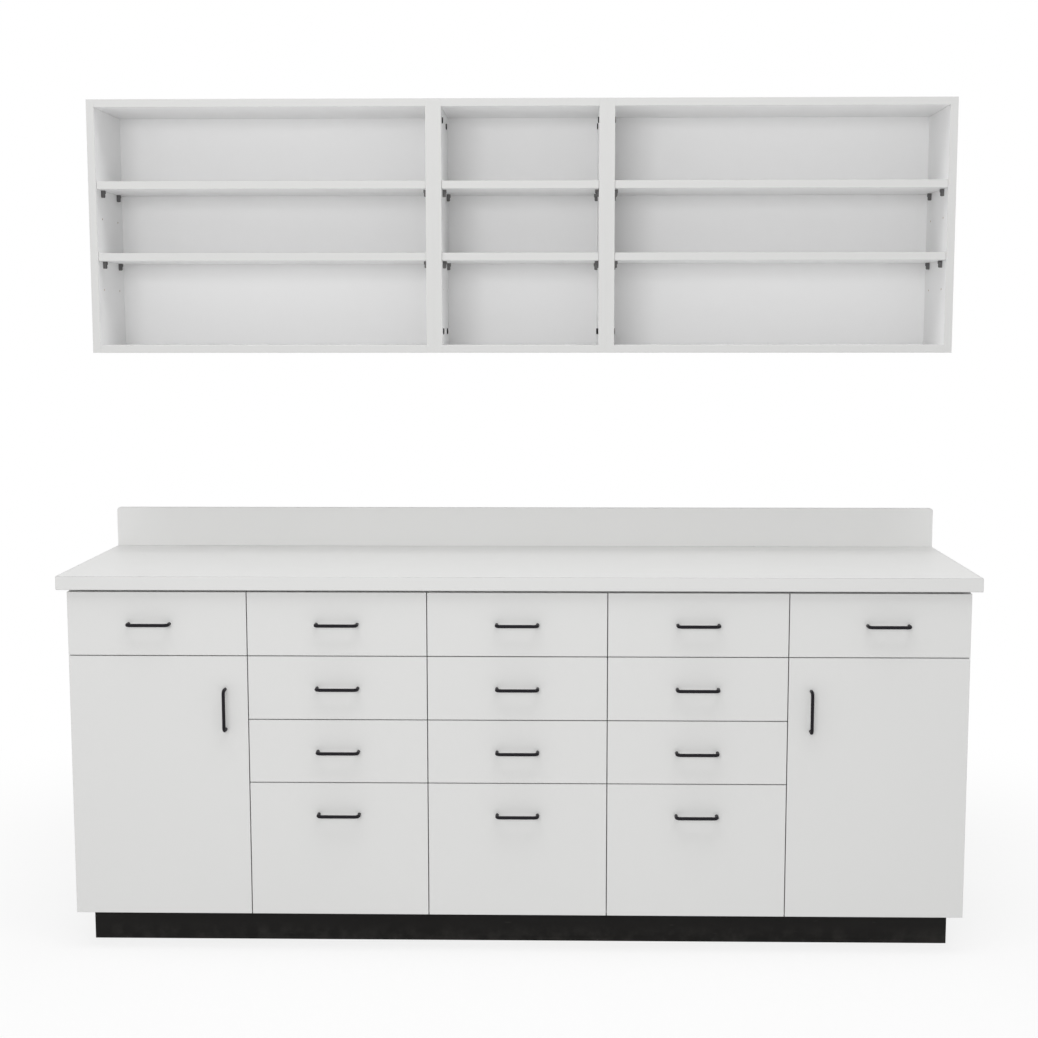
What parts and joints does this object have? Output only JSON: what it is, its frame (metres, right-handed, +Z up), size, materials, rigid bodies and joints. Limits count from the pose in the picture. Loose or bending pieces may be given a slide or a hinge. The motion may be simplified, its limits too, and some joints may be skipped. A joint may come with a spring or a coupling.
{
  "type": "pharmacy cabinet with wall shelves",
  "caption": "Run of white base cabinets with drawers and cupboard doors on a dark plinth, under a countertop with a backsplash, and open wall units with adjustable shelves above.",
  "frame": {"origin": "on the floor, in the middle of the object's box", "axes": "+X along the run to the viewer's right, -Y towards the user in front, +Z up"},
  "size_m": [2.164, 0.652, 2.043],
  "materials": {
    "front": "satin white laminate on laminated particle board",
    "carcass": "white melamine on laminated particle board",
    "drawer_box": "white melamine on laminated particle board",
    "wall_unit": "white melamine on laminated particle board",
    "shelf": "white melamine on laminated particle board",
    "counter": "satin white laminate on laminated particle board",
    "plinth": "matt black laminate on laminated particle board",
    "pull": "satin black coated steel wire"
  },
  "bodies": {
    "cabinet": {"plinth": "plinth", "countertop": "counter", "base_cabinet_left": "carcass", "base_cabinet_centre": "carcass", "base_cabinet_right": "carcass", "wall_unit_left": "wall_unit", "wall_shelf_left_lower": "shelf", "wall_shelf_left_upper": "shelf", "wall_unit_centre": "wall_unit", "wall_shelf_centre_lower": "shelf", "wall_shelf_centre_upper": "shelf", "wall_unit_right": "wall_unit", "wall_shelf_right_lower": "shelf", "wall_shelf_right_upper": "shelf"},
    "drawer_a1": {"drawer_front_a1": "front", "drawer_box_a1": "drawer_box", "drawer_pull_a1": "pull"},
    "door_left": {"door_left": "front", "door_pull_left": "pull"},
    "drawer_b1": {"drawer_front_b1": "front", "drawer_box_b1": "drawer_box", "drawer_pull_b1": "pull"},
    "drawer_b2": {"drawer_front_b2": "front", "drawer_box_b2": "drawer_box", "drawer_pull_b2": "pull"},
    "drawer_b3": {"drawer_front_b3": "front", "drawer_box_b3": "drawer_box", "drawer_pull_b3": "pull"},
    "drawer_b4": {"drawer_front_b4": "front", "drawer_box_b4": "drawer_box", "drawer_pull_b4": "pull"},
    "drawer_c1": {"drawer_front_c1": "front", "drawer_box_c1": "drawer_box", "drawer_pull_c1": "pull"},
    "drawer_c2": {"drawer_front_c2": "front", "drawer_box_c2": "drawer_box", "drawer_pull_c2": "pull"},
    "drawer_c3": {"drawer_front_c3": "front", "drawer_box_c3": "drawer_box", "drawer_pull_c3": "pull"},
    "drawer_c4": {"drawer_front_c4": "front", "drawer_box_c4": "drawer_box", "drawer_pull_c4": "pull"},
    "drawer_d1": {"drawer_front_d1": "front", "drawer_box_d1": "drawer_box", "drawer_pull_d1": "pull"},
    "drawer_d2": {"drawer_front_d2": "front", "drawer_box_d2": "drawer_box", "drawer_pull_d2": "pull"},
    "drawer_d3": {"drawer_front_d3": "front", "drawer_box_d3": "drawer_box", "drawer_pull_d3": "pull"},
    "drawer_d4": {"drawer_front_d4": "front", "drawer_box_d4": "drawer_box", "drawer_pull_d4": "pull"},
    "drawer_e1": {"drawer_front_e1": "front", "drawer_box_e1": "drawer_box", "drawer_pull_e1": "pull"},
    "door_right": {"door_right": "front", "door_pull_right": "pull"}
  },
  "joints": [
    {"name": "drawer_a1_slide", "type": "slide", "parent": "cabinet", "child": "drawer_a1", "axis": [0, -1, 0], "range_m": [0, 0.4]},
    {"name": "door_left_hinge", "type": "hinge", "parent": "cabinet", "child": "door_left", "pos_m": [-1.059, -0.277, 0.4103], "axis": [0, 0, -1], "range_deg": [0, 110]},
    {"name": "drawer_b1_slide", "type": "slide", "parent": "cabinet", "child": "drawer_b1", "axis": [0, -1, 0], "range_m": [0, 0.4]},
    {"name": "drawer_b2_slide", "type": "slide", "parent": "cabinet", "child": "drawer_b2", "axis": [0, -1, 0], "range_m": [0, 0.4]},
    {"name": "drawer_b3_slide", "type": "slide", "parent": "cabinet", "child": "drawer_b3", "axis": [0, -1, 0], "range_m": [0, 0.4]},
    {"name": "drawer_b4_slide", "type": "slide", "parent": "cabinet", "child": "drawer_b4", "axis": [0, -1, 0], "range_m": [0, 0.4]},
    {"name": "drawer_c1_slide", "type": "slide", "parent": "cabinet", "child": "drawer_c1", "axis": [0, -1, 0], "range_m": [0, 0.4]},
    {"name": "drawer_c2_slide", "type": "slide", "parent": "cabinet", "child": "drawer_c2", "axis": [0, -1, 0], "range_m": [0, 0.4]},
    {"name": "drawer_c3_slide", "type": "slide", "parent": "cabinet", "child": "drawer_c3", "axis": [0, -1, 0], "range_m": [0, 0.4]},
    {"name": "drawer_c4_slide", "type": "slide", "parent": "cabinet", "child": "drawer_c4", "axis": [0, -1, 0], "range_m": [0, 0.4]},
    {"name": "drawer_d1_slide", "type": "slide", "parent": "cabinet", "child": "drawer_d1", "axis": [0, -1, 0], "range_m": [0, 0.4]},
    {"name": "drawer_d2_slide", "type": "slide", "parent": "cabinet", "child": "drawer_d2", "axis": [0, -1, 0], "range_m": [0, 0.4]},
    {"name": "drawer_d3_slide", "type": "slide", "parent": "cabinet", "child": "drawer_d3", "axis": [0, -1, 0], "range_m": [0, 0.4]},
    {"name": "drawer_d4_slide", "type": "slide", "parent": "cabinet", "child": "drawer_d4", "axis": [0, -1, 0], "range_m": [0, 0.4]},
    {"name": "drawer_e1_slide", "type": "slide", "parent": "cabinet", "child": "drawer_e1", "axis": [0, -1, 0], "range_m": [0, 0.4]},
    {"name": "door_right_hinge", "type": "hinge", "parent": "cabinet", "child": "door_right", "pos_m": [1.059, -0.277, 0.4103], "axis": [0, 0, 1], "range_deg": [0, 110]}
  ]
}
